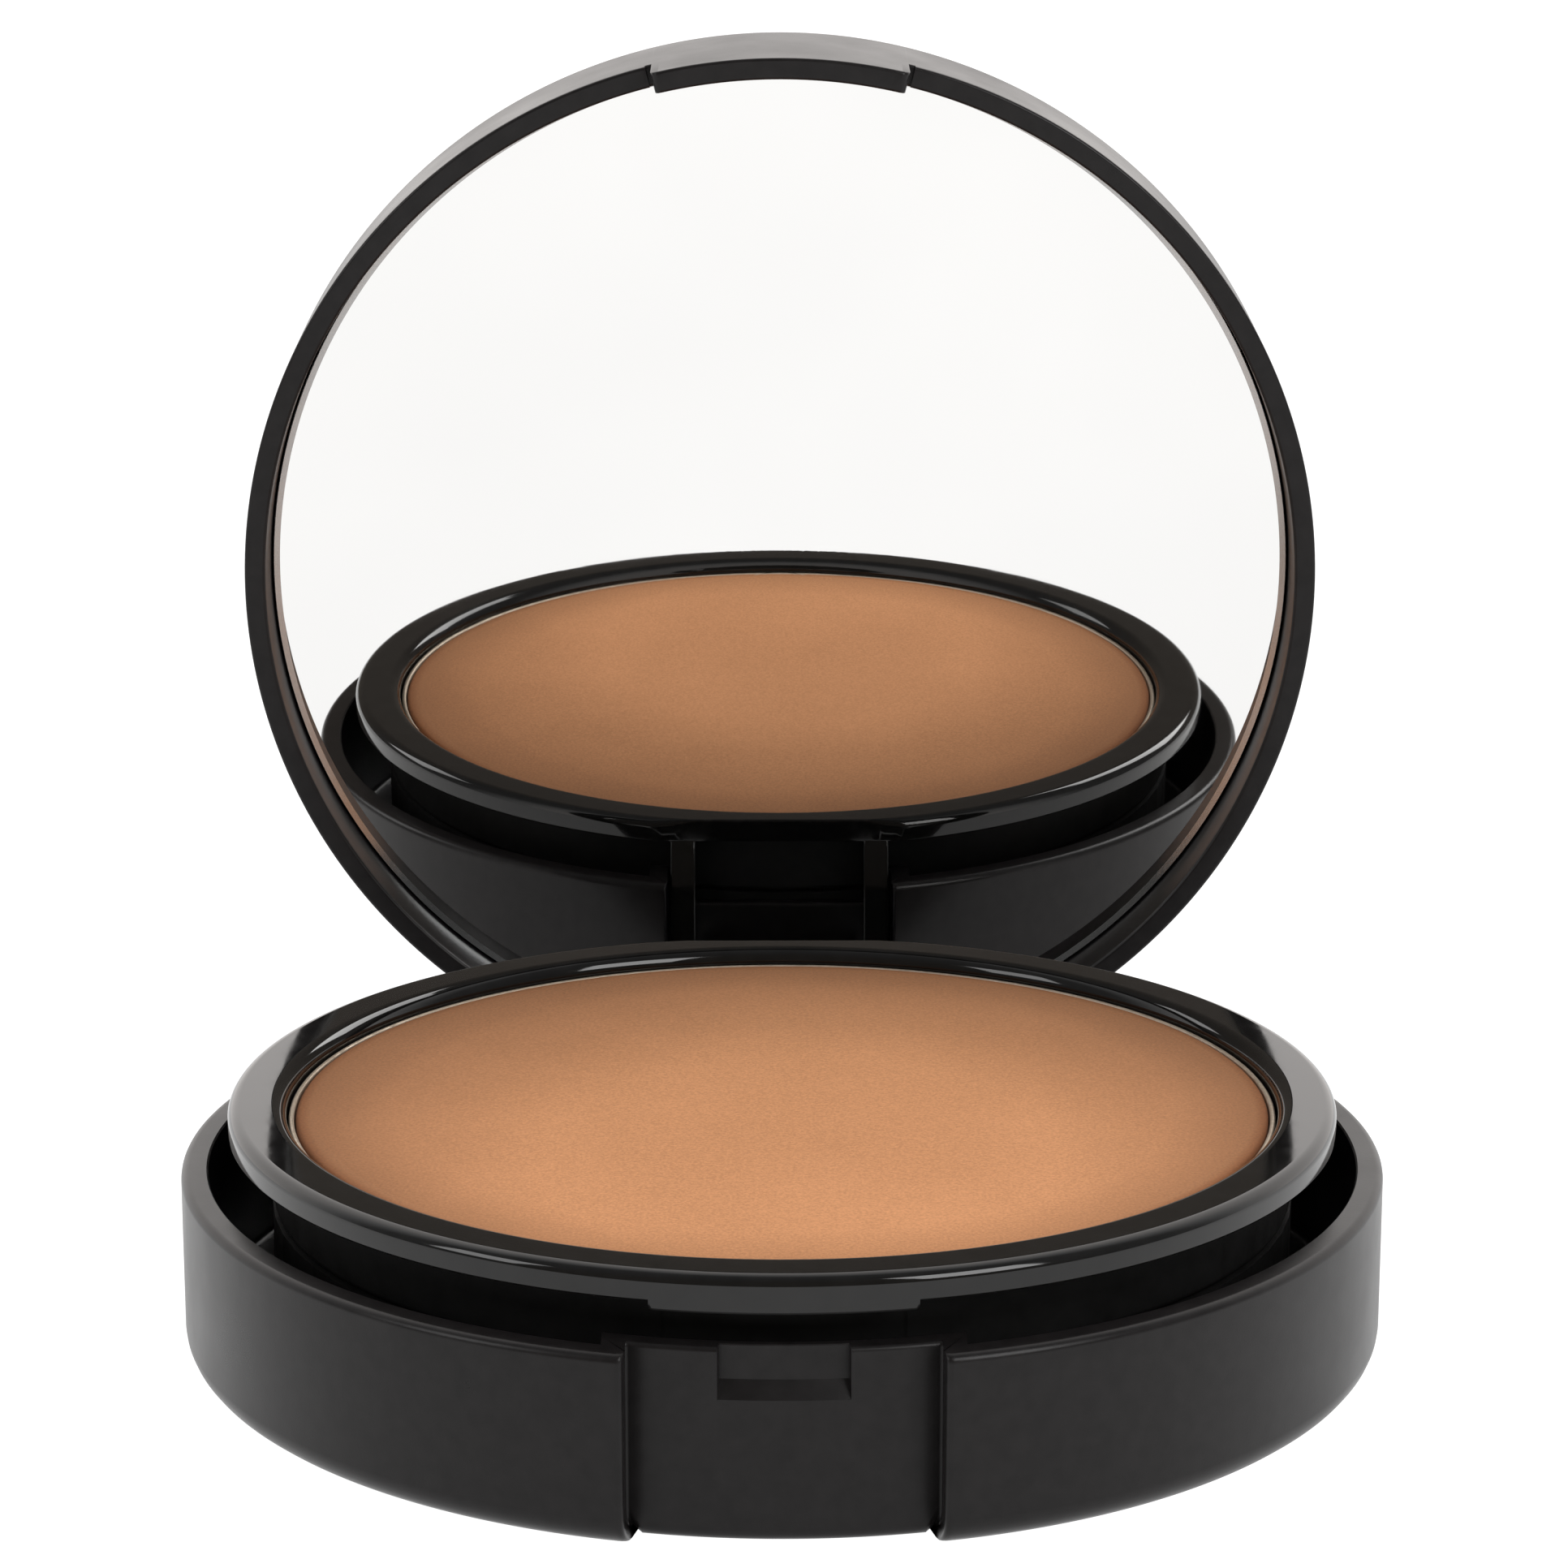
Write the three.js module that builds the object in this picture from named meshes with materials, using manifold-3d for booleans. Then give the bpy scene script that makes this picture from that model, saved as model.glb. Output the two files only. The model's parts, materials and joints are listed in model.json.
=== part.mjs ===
// A round two-tier powder compact: a low base, a tray that holds the pan of pressed powder above a
// sponge well, and a lid with a round mirror, standing open on its hinge pin.
// Millimetres, +Z up, front of the compact towards -Y, origin under the centre of the base.
import * as THREE from "three";
import { mergeVertices } from "three/addons/utils/BufferGeometryUtils.js";
import Module from "manifold-3d";

const wasm = await Module();
wasm.setup();

// Driving dimensions
const CASE_RADIUS = 36.1;
const BASE_HEIGHT = 11.15;
const BASE_WALL = 1.6;
const BASE_FLOOR = 1.5;
const FOOT_ROUND = 1.7;
const RIM_ROUND = 0.5;
const PAN_RADIUS = 29.5;
const PAN_WALL = 0.4;
const POWDER_TOP = 14.1;
const TRAY_TOP = 15;
const TRAY_RADIUS = 33.25;
const LID_DEPTH = 9.7;
const LID_WALL = 1.4;
const LID_ROUND = 1.5;
const MIRROR_RECESS = 4.35;
const MIRROR_THICKNESS = 1.8;
const CLOSED_GAP = 0.2;
const HINGE_Y = 33.68;
const HINGE_Z = 3.52;
const PIN_RADIUS = 0.7;
const OPEN_ANGLE = 86.8;
const PART_GAP = 0.1;
const TURNED_GAP = 0.3;

// Thumb recess and catch at the front
const RECESS_HALF_WIDTH = 8.6;
const RECESS_RADIUS = 33.9;
const RECESS_WALL = 1.2;
const RECESS_FOOT_ROUND = 0.7;
const RECESS_TOP_ROUND = 0.3;
const NOTCH_HALF_WIDTH = 3.6;
const NOTCH_BOTTOM = 8.2;
const NOTCH_DEPTH = 0.7;
const NOTCH_RAMP = 0.95;
const CATCH_HALF_WIDTH = 8.4;
const CATCH_LENGTH = 3.5;
const CATCH_THICKNESS = 1.2;
const LIP_HALF_WIDTH = 7.3;
const LIP_BOTTOM = 12.8;
const LIP_INNER = 31;
const LIP_SLOPE = 0.6;

// Hinge bay at the back
const BAY_HALF_WIDTH = 8.2;
const BAY_FRONT_Y = 31.7;
const BAY_PLATE = 1.2;
const BAY_WALL_TOP = 8.4;
const BOSS_OUTER_X = 11.4;
const BOSS_TOP = 6.4;
const PIN_HALF_LENGTH = 10.8;
const PIN_CLEARANCE = 0.05;
const ARM_HALF_WIDTH = 5.8;
const ARM_BOTTOM = 1.55;
const KNUCKLE_RADIUS = 1.7;
const EAR_INNER_X = 6.1;
const EAR_OUTER_X = 7.9;

// Tray, pan and well
const TRAY_FLOOR_BOTTOM = 8.9;
const TRAY_FLOOR = 0.8;
const TRAY_CUP_RADIUS = 30.6;
const TRAY_CUP_INNER = 29.75;
const TRAY_FLANGE_BOTTOM = 13.3;
const FLANGE_DRAFT = 0.1;
const TRAY_BACK_Y = 32;
const TRAY_FLAT_OUTER = 32.5;
const TRAY_FLAT_INNER = 30.65;
const PUSH_HOLE_RADIUS = 3;
const PAN_RIM_BELOW_POWDER = 0.1;
const GLUE_RADIUS = 10;
const GLUE_THICKNESS = 0.3;
const WELL_RADIUS = 30.7;
const WELL_WALL = 0.8;
const SPONGE_RADIUS = 27.5;
const SPONGE_THICKNESS = 5.4;
const SPONGE_ROUND = 1.2;
const LABEL_RADIUS = 24.5;
const LABEL_THICKNESS = 0.3;
const LABEL_RECESS = 0.4;

// Mirror pack
const MIRROR_SIDE_GAP = 0.3;
const MIRROR_BEVEL = 0.45;
const TAPE_THICKNESS = 0.4;
const TAPE_RADIUS = 31;
const CARRIER_THICKNESS = 1.1;

const FINE = 96;
const COARSE = 64;
const ARC_STEPS = 5;
const FAR = 60;
const BURY = 0.5;

const satinBlack = () =>
  new THREE.MeshStandardMaterial({ color: 0x1b1a1a, roughness: 0.45, metalness: 0 });
const glossBlack = () =>
  new THREE.MeshStandardMaterial({ color: 0x080808, roughness: 0.12, metalness: 0 });
const aluminium = () =>
  new THREE.MeshStandardMaterial({ color: 0xc9c2b4, roughness: 0.3, metalness: 1 });
const steel = () =>
  new THREE.MeshStandardMaterial({ color: 0x9a9a9c, roughness: 0.35, metalness: 1 });
const powder = () =>
  new THREE.MeshStandardMaterial({ color: 0xc08d68, roughness: 0.95, metalness: 0 });
const foam = () =>
  new THREE.MeshStandardMaterial({ color: 0xe6d3bd, roughness: 1, metalness: 0 });
const mirrorGlass = () =>
  new THREE.MeshStandardMaterial({ color: 0xf4f4f4, roughness: 0.02, metalness: 1 });
const paper = () =>
  new THREE.MeshStandardMaterial({ color: 0x202020, roughness: 0.7, metalness: 0 });
const adhesive = () =>
  new THREE.MeshStandardMaterial({ color: 0xd8d2c4, roughness: 0.8, metalness: 0 });

// Solids from three.js geometries, for joining and cutting
function solid(geometry) {
  const bare = geometry.clone();
  bare.deleteAttribute("normal");
  bare.deleteAttribute("uv");
  const merged = mergeVertices(bare, 1e-4);
  return new wasm.Manifold(
    new wasm.Mesh({
      numProp: 3,
      vertProperties: merged.attributes.position.array,
      triVerts: new Uint32Array(merged.index.array),
    }),
  );
}

function geometryOf(body) {
  const mesh = body.getMesh();
  const indexed = new THREE.BufferGeometry();
  indexed.setAttribute("position", new THREE.BufferAttribute(mesh.vertProperties, 3));
  indexed.setIndex(new THREE.BufferAttribute(mesh.triVerts, 1));
  const faceted = indexed.toNonIndexed();
  faceted.computeVertexNormals();
  return faceted;
}

const radians = THREE.MathUtils.degToRad;

// Points of an arc in a profile, from one angle to another, in degrees
function arc(x, y, radiusX, radiusY, from, to, steps = ARC_STEPS) {
  const curve = new THREE.EllipseCurve(
    x, y, radiusX, radiusY, radians(from), radians(to), to < from);
  return curve.getPoints(steps);
}

const at = (r, z) => new THREE.Vector2(r, z);

// A profile of (radius, height) points turned about the Z axis
function turned(points, segments = FINE) {
  return solid(new THREE.LatheGeometry(points, segments).rotateX(Math.PI / 2));
}

function disc(radius, bottom, top, segments = FINE) {
  return turned([at(0, bottom), at(radius, bottom), at(radius, top), at(0, top)], segments);
}

function ring(inner, outer, bottom, top, segments = FINE) {
  return turned(
    [at(inner, bottom), at(outer, bottom), at(outer, top), at(inner, top), at(inner, bottom)],
    segments,
  );
}

function block(x0, x1, y0, y1, z0, z1) {
  const box = new THREE.BoxGeometry(x1 - x0, y1 - y0, z1 - z0);
  return solid(box.translate((x0 + x1) / 2, (y0 + y1) / 2, (z0 + z1) / 2));
}

// A round bar along X on the hinge axis
function hingeBar(radius, x0, x1, segments = 28) {
  const bar = new THREE.CylinderGeometry(radius, radius, x1 - x0, segments);
  return solid(bar.rotateZ(Math.PI / 2).translate((x0 + x1) / 2, HINGE_Y, HINGE_Z));
}

const pinHole = () => hingeBar(PIN_RADIUS + PIN_CLEARANCE, -PIN_HALF_LENGTH - 0.1, PIN_HALF_LENGTH + 0.1);

function mesh(name, body, material) {
  const made = new THREE.Mesh(geometryOf(body), material);
  made.name = name;
  return made;
}

// Base
function baseCup() {
  const inner = CASE_RADIUS - BASE_WALL;
  const cornerRound = 0.5;
  return turned([
    at(0, LABEL_RECESS),
    at(LABEL_RADIUS + TURNED_GAP, LABEL_RECESS),
    at(LABEL_RADIUS + TURNED_GAP, 0),
    ...arc(CASE_RADIUS - FOOT_ROUND, FOOT_ROUND, FOOT_ROUND, FOOT_ROUND, -90, 0),
    ...arc(CASE_RADIUS - RIM_ROUND, BASE_HEIGHT - RIM_ROUND, RIM_ROUND, RIM_ROUND, 0, 90),
    at(inner, BASE_HEIGHT),
    at(inner, BASE_FLOOR + cornerRound),
    at(inner - cornerRound, BASE_FLOOR),
    at(0, BASE_FLOOR),
  ]);
}

// A shallow blind notch in the panel's upper edge, with a sloping lower side
function catchNotch() {
  const back = RECESS_RADIUS - NOTCH_DEPTH;
  return turned([
    at(back, NOTCH_BOTTOM + NOTCH_RAMP),
    at(RECESS_RADIUS, NOTCH_BOTTOM),
    at(RECESS_RADIUS + 1, NOTCH_BOTTOM),
    at(RECESS_RADIUS + 1, BASE_HEIGHT + 1),
    at(back, BASE_HEIGHT + 1),
    at(back, NOTCH_BOTTOM + NOTCH_RAMP),
  ]).intersect(block(-NOTCH_HALF_WIDTH, NOTCH_HALF_WIDTH, -FAR, 0, 0, FAR));
}

// The wall steps inwards behind the thumb recess.
function cutThumbRecess(cup) {
  const inner = RECESS_RADIUS - RECESS_WALL;
  const jogHalfWidth = RECESS_HALF_WIDTH + RECESS_WALL;
  const jog = ring(inner, CASE_RADIUS - BASE_WALL / 2, BASE_FLOOR / 2, BASE_HEIGHT).intersect(
    block(-jogHalfWidth, jogHalfWidth, -FAR, 0, 0, FAR));
  const outside = turned([
    at(RECESS_RADIUS - RECESS_FOOT_ROUND, -1),
    at(FAR, -1),
    at(FAR, BASE_HEIGHT + 1),
    at(RECESS_RADIUS - RECESS_TOP_ROUND, BASE_HEIGHT + 1),
    ...arc(RECESS_RADIUS - RECESS_TOP_ROUND, BASE_HEIGHT - RECESS_TOP_ROUND,
      RECESS_TOP_ROUND, RECESS_TOP_ROUND, 90, 0, 3),
    ...arc(RECESS_RADIUS - RECESS_FOOT_ROUND, RECESS_FOOT_ROUND,
      RECESS_FOOT_ROUND, RECESS_FOOT_ROUND, 0, -90, 4),
    at(RECESS_RADIUS - RECESS_FOOT_ROUND, -1),
  ]);
  const recess = outside.intersect(
    block(-RECESS_HALF_WIDTH, RECESS_HALF_WIDTH, -FAR, 0, -FAR, FAR));
  return cup.add(jog).subtract(recess).subtract(catchNotch());
}

// The wall opens at the back for the hinge, between two cheeks that hold the pin.
function cutHingeBay(cup) {
  const cheekX = BAY_HALF_WIDTH + BAY_PLATE;
  const wallY = BAY_FRONT_Y - 0.6;
  let bay = block(-cheekX, cheekX, wallY, CASE_RADIUS, 0, BASE_HEIGHT);
  bay = bay.add(block(-BOSS_OUTER_X, BOSS_OUTER_X, wallY, CASE_RADIUS, 0, BOSS_TOP));
  bay = bay.intersect(disc(CASE_RADIUS - BASE_WALL / 2, BASE_FLOOR / 2, BASE_HEIGHT));
  const opening = block(-BAY_HALF_WIDTH, BAY_HALF_WIDTH, BAY_FRONT_Y, FAR, -FAR, FAR);
  const wallCut = block(-BAY_HALF_WIDTH, BAY_HALF_WIDTH, 0, FAR, BAY_WALL_TOP, FAR);
  return cup.add(bay).subtract(opening).subtract(wallCut).subtract(pinHole());
}

function sponge() {
  const bottom = BASE_FLOOR + PART_GAP + WELL_WALL + PART_GAP;
  const top = bottom + SPONGE_THICKNESS;
  const r = SPONGE_ROUND;
  return turned([
    at(0, bottom),
    ...arc(SPONGE_RADIUS - r, bottom + r, r, r, -90, 0, 3),
    ...arc(SPONGE_RADIUS - r, top - r, r, r, 0, 90, 3),
    at(0, top),
  ], COARSE);
}

function spongeWell() {
  const bottom = BASE_FLOOR + PART_GAP;
  const top = TRAY_FLOOR_BOTTOM - PART_GAP;
  return turned([
    at(0, bottom),
    at(WELL_RADIUS, bottom),
    at(WELL_RADIUS, top),
    at(WELL_RADIUS - WELL_WALL, top),
    at(WELL_RADIUS - WELL_WALL, bottom + WELL_WALL),
    at(0, bottom + WELL_WALL),
  ], COARSE);
}

// Tray: a cup for the pan with a broad flange, a finger lip in front and two hinge ears behind
function trayBody() {
  const shoulder = 14.3;
  const stepDepth = 0.9;
  const floorTop = TRAY_FLOOR_BOTTOM + TRAY_FLOOR;
  return turned([
    at(PUSH_HOLE_RADIUS, TRAY_FLOOR_BOTTOM),
    at(TRAY_CUP_RADIUS - 0.4, TRAY_FLOOR_BOTTOM),
    at(TRAY_CUP_RADIUS, TRAY_FLOOR_BOTTOM + 0.4),
    at(TRAY_CUP_RADIUS, TRAY_FLANGE_BOTTOM),
    at(TRAY_RADIUS - FLANGE_DRAFT, TRAY_FLANGE_BOTTOM),
    ...arc(TRAY_FLAT_OUTER, shoulder,
      TRAY_RADIUS - TRAY_FLAT_OUTER, TRAY_TOP - shoulder, 0, 90),
    ...arc(TRAY_FLAT_INNER, TRAY_TOP - stepDepth,
      TRAY_FLAT_INNER - TRAY_CUP_INNER, stepDepth, 90, 180, 4),
    at(TRAY_CUP_INNER, floorTop),
    at(PUSH_HOLE_RADIUS, floorTop),
    at(PUSH_HOLE_RADIUS, TRAY_FLOOR_BOTTOM),
  ]);
}

// The flange is deeper for a fingertip in front, flush with its side.
function fingerLip() {
  const side = TRAY_RADIUS - FLANGE_DRAFT;
  const profile = turned([
    at(LIP_INNER, LIP_BOTTOM + LIP_SLOPE),
    at(LIP_INNER + 1, LIP_BOTTOM),
    at(side, LIP_BOTTOM),
    at(side, TRAY_FLANGE_BOTTOM),
    at(side - BURY, TRAY_FLANGE_BOTTOM + BURY),
    at(LIP_INNER, TRAY_FLANGE_BOTTOM + BURY),
    at(LIP_INNER, LIP_BOTTOM + LIP_SLOPE),
  ]);
  return profile.intersect(block(-LIP_HALF_WIDTH, LIP_HALF_WIDTH, -FAR, 0, 0, FAR));
}

// One hinge ear, drawn in the plane of the tray's swing and drilled for the pin
function trayEar(x0, x1) {
  const outline = new THREE.Shape([
    at(30.9, TRAY_FLANGE_BOTTOM + BURY),
    at(30.9, TRAY_FLANGE_BOTTOM - 1.6),
    at(32.2, TRAY_FLANGE_BOTTOM - 3.2),
    at(HINGE_Y - 1.5, HINGE_Z),
    ...arc(HINGE_Y, HINGE_Z, 1.5, 1.5, 180, 360, 10),
    at(33.3, 11),
    at(TRAY_BACK_Y, TRAY_FLANGE_BOTTOM),
    at(TRAY_BACK_Y - 0.2, TRAY_FLANGE_BOTTOM + BURY),
  ]);
  const plate = new THREE.ExtrudeGeometry(outline, { depth: x1 - x0, bevelEnabled: false });
  plate.rotateX(Math.PI / 2).rotateZ(Math.PI / 2).translate(x0, 0, 0);
  return solid(plate);
}

function powderTray() {
  const back = block(-FAR, FAR, TRAY_BACK_Y, FAR, 0, FAR);
  return trayBody()
    .subtract(back)
    .add(fingerLip())
    .add(trayEar(EAR_INNER_X, EAR_OUTER_X))
    .add(trayEar(-EAR_OUTER_X, -EAR_INNER_X))
    .subtract(pinHole());
}

const glueBottom = TRAY_FLOOR_BOTTOM + TRAY_FLOOR + PART_GAP;
const panBottom = glueBottom + GLUE_THICKNESS + PART_GAP;

function powderPan() {
  const rim = POWDER_TOP - PAN_RIM_BELOW_POWDER;
  const cornerRound = 0.5;
  return turned([
    at(0, panBottom),
    at(PAN_RADIUS - cornerRound, panBottom),
    at(PAN_RADIUS, panBottom + cornerRound),
    at(PAN_RADIUS, rim),
    at(PAN_RADIUS - PAN_WALL, rim),
    at(PAN_RADIUS - PAN_WALL, panBottom + PAN_WALL),
    at(0, panBottom + PAN_WALL),
  ]);
}

function pressedPowder() {
  const radius = PAN_RADIUS - PAN_WALL - PART_GAP / 2;
  const edge = 0.15;
  return turned([
    at(0, panBottom + PAN_WALL + PART_GAP),
    at(radius, panBottom + PAN_WALL + PART_GAP),
    at(radius, POWDER_TOP - edge),
    at(radius - edge, POWDER_TOP),
    at(0, POWDER_TOP),
  ]);
}

// Lid, drawn where it sits when closed: open side down, turned up about the hinge at the end
const lidBottom = BASE_HEIGHT + CLOSED_GAP;
const lidTop = lidBottom + LID_DEPTH;
const lidInner = CASE_RADIUS - LID_WALL;
const mirrorFace = lidBottom + MIRROR_RECESS;
const tapeBottom = mirrorFace + MIRROR_THICKNESS + PART_GAP;
const carrierBottom = tapeBottom + TAPE_THICKNESS + PART_GAP;
const lidCeiling = carrierBottom + CARRIER_THICKNESS + PART_GAP;

function lidCup() {
  const edge = 0.15;
  return turned([
    at(0, lidCeiling),
    at(lidInner, lidCeiling),
    at(lidInner, lidBottom + edge),
    at(lidInner + edge, lidBottom),
    at(CASE_RADIUS - edge, lidBottom),
    at(CASE_RADIUS, lidBottom + edge),
    ...arc(CASE_RADIUS - LID_ROUND, lidTop - LID_ROUND, LID_ROUND, LID_ROUND, 0, 90),
    at(0, lidTop),
  ]);
}

// The catch hangs from the front of the rim into the thumb recess.
function lidCatch() {
  const inner = CASE_RADIUS - CATCH_THICKNESS;
  return ring(inner, CASE_RADIUS, lidBottom - CATCH_LENGTH, lidBottom + BURY).intersect(
    block(-CATCH_HALF_WIDTH, CATCH_HALF_WIDTH, -FAR, 0, 0, FAR));
}

// The arm hangs from the back of the rim into the hinge bay and carries the knuckle.
function lidArm() {
  const plate = ring(lidInner, CASE_RADIUS, ARM_BOTTOM, lidBottom + BURY).intersect(
    block(-ARM_HALF_WIDTH, ARM_HALF_WIDTH, 0, FAR, 0, FAR));
  return plate.add(hingeBar(KNUCKLE_RADIUS, -ARM_HALF_WIDTH, ARM_HALF_WIDTH)).subtract(pinHole());
}

function mirror() {
  const radius = lidInner - MIRROR_SIDE_GAP;
  return turned([
    at(0, mirrorFace),
    at(radius - MIRROR_BEVEL, mirrorFace),
    at(radius, mirrorFace + MIRROR_BEVEL),
    at(radius, mirrorFace + MIRROR_THICKNESS),
    at(0, mirrorFace + MIRROR_THICKNESS),
  ]);
}

const baseGroup = new THREE.Group();
baseGroup.add(
  mesh("base_shell", cutHingeBay(cutThumbRecess(baseCup())), satinBlack()),
  mesh("shade_label", disc(LABEL_RADIUS, 0, LABEL_THICKNESS, COARSE), paper()),
  mesh("sponge_well", spongeWell(), glossBlack()),
  mesh("applicator_sponge", sponge(), foam()),
  mesh("powder_tray", powderTray(), glossBlack()),
  mesh("pan_adhesive", disc(GLUE_RADIUS, glueBottom, glueBottom + GLUE_THICKNESS, COARSE),
    adhesive()),
  mesh("powder_pan", powderPan(), aluminium()),
  mesh("pressed_powder", pressedPowder(), powder()),
  mesh("hinge_pin", hingeBar(PIN_RADIUS, -PIN_HALF_LENGTH, PIN_HALF_LENGTH), steel()),
);

const closedLid = new THREE.Group();
closedLid.position.set(0, -HINGE_Y, -HINGE_Z);
closedLid.add(
  mesh("lid_shell", lidCup().add(lidCatch()).add(lidArm()), satinBlack()),
  mesh("mirror_carrier", disc(lidInner - TURNED_GAP, carrierBottom,
    carrierBottom + CARRIER_THICKNESS), glossBlack()),
  mesh("mirror_tape", disc(TAPE_RADIUS, tapeBottom, tapeBottom + TAPE_THICKNESS, COARSE),
    adhesive()),
  mesh("mirror_glass", mirror(), mirrorGlass()),
);

const openLid = new THREE.Group();
openLid.position.set(0, HINGE_Y, HINGE_Z);
openLid.rotation.x = -radians(OPEN_ANGLE);
openLid.add(closedLid);

const compact = new THREE.Group();
compact.add(baseGroup, openLid);

export default compact;
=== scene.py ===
import json
import math

import bmesh
import bpy
from mathutils import Matrix, Vector


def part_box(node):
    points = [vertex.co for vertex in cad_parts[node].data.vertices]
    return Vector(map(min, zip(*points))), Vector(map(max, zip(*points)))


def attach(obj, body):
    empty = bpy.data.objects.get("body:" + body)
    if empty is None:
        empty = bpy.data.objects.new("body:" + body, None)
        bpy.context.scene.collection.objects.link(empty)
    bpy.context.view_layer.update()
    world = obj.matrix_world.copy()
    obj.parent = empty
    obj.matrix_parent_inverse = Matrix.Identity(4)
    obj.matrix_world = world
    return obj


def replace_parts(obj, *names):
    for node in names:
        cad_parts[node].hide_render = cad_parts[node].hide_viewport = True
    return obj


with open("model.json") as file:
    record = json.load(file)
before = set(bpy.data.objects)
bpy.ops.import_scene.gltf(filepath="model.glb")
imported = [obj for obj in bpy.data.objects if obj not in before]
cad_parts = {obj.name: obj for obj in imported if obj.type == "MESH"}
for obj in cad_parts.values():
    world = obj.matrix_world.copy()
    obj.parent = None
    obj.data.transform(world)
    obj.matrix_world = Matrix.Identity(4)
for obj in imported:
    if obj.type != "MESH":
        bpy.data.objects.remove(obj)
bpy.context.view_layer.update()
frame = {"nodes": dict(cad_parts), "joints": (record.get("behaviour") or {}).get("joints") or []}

MM = 0.001


def node_box(name):
    low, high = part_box(name)
    return low / MM, high / MM


MIRROR_PLAY = 0.18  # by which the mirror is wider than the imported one, for a narrower gap

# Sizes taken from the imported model
BASE_TOP = node_box("base_shell")[1]
TRAY_HIGH = node_box("powder_tray")[1]
PAN_LOW, PAN_HIGH = node_box("powder_pan")
POWDER_LOW, POWDER_HIGH = node_box("pressed_powder")
LABEL_HIGH = node_box("shade_label")[1]
WELL_TOP = node_box("sponge_well")[1].z
SPONGE_LOW, SPONGE_HIGH = node_box("applicator_sponge")
HINGE = frame["joints"][0]
HINGE_AT = Vector(HINGE["pos_m"]) / MM
OPEN_ANGLE = -HINGE["range_deg"][0]

CASE_R = BASE_TOP.x
BASE_H = BASE_TOP.z
TRAY_R = TRAY_HIGH.x
TRAY_TOP = TRAY_HIGH.z
MIRROR_R = node_box("mirror_glass")[1].x + MIRROR_PLAY

# Case details
WALL = 1.6
FLOOR = 1.5
FOOT_ROUND = 1.7
FOOT_START = CASE_R - FOOT_ROUND
RIM_ROUND = 0.5
RECESS_RIM_ROUND = 0.3
INNER_FILLET = 0.5
LABEL_GAP = 0.3
LABEL_RECESS = 0.4
RECESS_R = 33.9
RECESS_HALF = 8.6
RECESS_WALL = 1.2
RECESS_FOOT = 0.7
NOTCH_HALF = 3.6
NOTCH_LOW = 8.2
NOTCH_DEPTH = 0.7
NOTCH_RAMP = 0.95
NOTCH_RIM_ROUND = 0.1
BAY_HALF = 8.2
BAY_Y = 31.7
BAY_WALL = 0.6
BAY_CHEEK = 1.2
BAY_WALL_TOP = 8.4
CORNER = 0.25
PANEL_CORNER = 0.55

# Tray details
TRAY_FLAT_OUT = 32.5
TRAY_FLAT_IN = 30.65
TRAY_BACK = 32.0
SHOULDER_Z = 14.3
FLANGE_LOW = 13.3
STEP_DEPTH = 0.9
CUP_OUT = 30.6
CUP_IN = 29.75
CUP_LOW = WELL_TOP + 0.1
CUP_FLOOR = 0.8
CUP_FOOT_ROUND = 0.4
CUP_FILLET = 0.3
FLANGE_EDGE = 0.15
PUSH_HOLE = 3.0
LIP_HALF = 7.3
LIP_CORNER = 0.25
LIP_LOW = 12.8
LIP_IN = 31.0
EAR_IN = 6.1
EAR_OUT = 7.9
EAR_FRONT = 30.9
EAR_STEM = 32.2
EAR_BACK = (33.3, 11)
EAR_EYE = 1.5

# Lid details, as the lid lies when it is closed
CLOSED_GAP = 0.2
LID_DEPTH = 9.7
LID_WALL = 1.4
LID_ROUND = 1.5
LID_EDGE = 0.2
LID_LOW = BASE_H + CLOSED_GAP
LID_HIGH = LID_LOW + LID_DEPTH
LID_IN = CASE_R - LID_WALL
MIRROR_RECESS = 4.35
MIRROR_THICK = 1.8
MIRROR_EDGE = 0.45
CEILING = LID_LOW + MIRROR_RECESS + MIRROR_THICK + 1.8
CATCH_HALF = 8.4
CATCH_LENGTH = 3.5
CATCH_GAP = 0.45
CATCH_CORNER = 0.5
ARM_HALF = 5.8
ARM_LOW = 1.55
KNUCKLE_R = 1.7
KNUCKLE_CHAMFER = 0.25
KNUCKLE_STEPS = 48

# Camera, in the same millimetres, and the angles it looks down and aside by
CAMERA_AT = (-0.863, -266.83, 100.62)
LOOK_DOWN = 14.061
LOOK_ASIDE = 0.21
LENS = 106.43
SENSOR = 36

FINE_STEP = 1.25  # degrees between columns round the case
TINY_TURN = 0.01  # degrees between the two columns of a step in the wall


# Camera and stage

def set_camera():
    data = bpy.data.cameras.new("camera")
    data.sensor_width = SENSOR
    data.lens = LENS
    data.clip_start = 0.01
    data.clip_end = 20
    camera = bpy.data.objects.new("camera", data)
    bpy.context.scene.collection.objects.link(camera)
    camera.location = Vector(CAMERA_AT) * MM
    down, aside = math.radians(LOOK_DOWN), math.radians(LOOK_ASIDE)
    look = Vector((math.sin(aside) * math.cos(down), math.cos(aside) * math.cos(down), -math.sin(down)))
    camera.rotation_euler = look.to_track_quat("-Z", "Y").to_euler()
    bpy.context.scene.camera = camera


def area_light(name, place, target, size, power):
    data = bpy.data.lights.new(name, "AREA")
    data.shape = "RECTANGLE"
    data.size, data.size_y = size
    data.energy = power
    light = bpy.data.objects.new(name, data)
    bpy.context.scene.collection.objects.link(light)
    light.location = place
    light.rotation_euler = (Vector(target) - Vector(place)).to_track_quat("-Z", "Y").to_euler()
    return light


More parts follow.
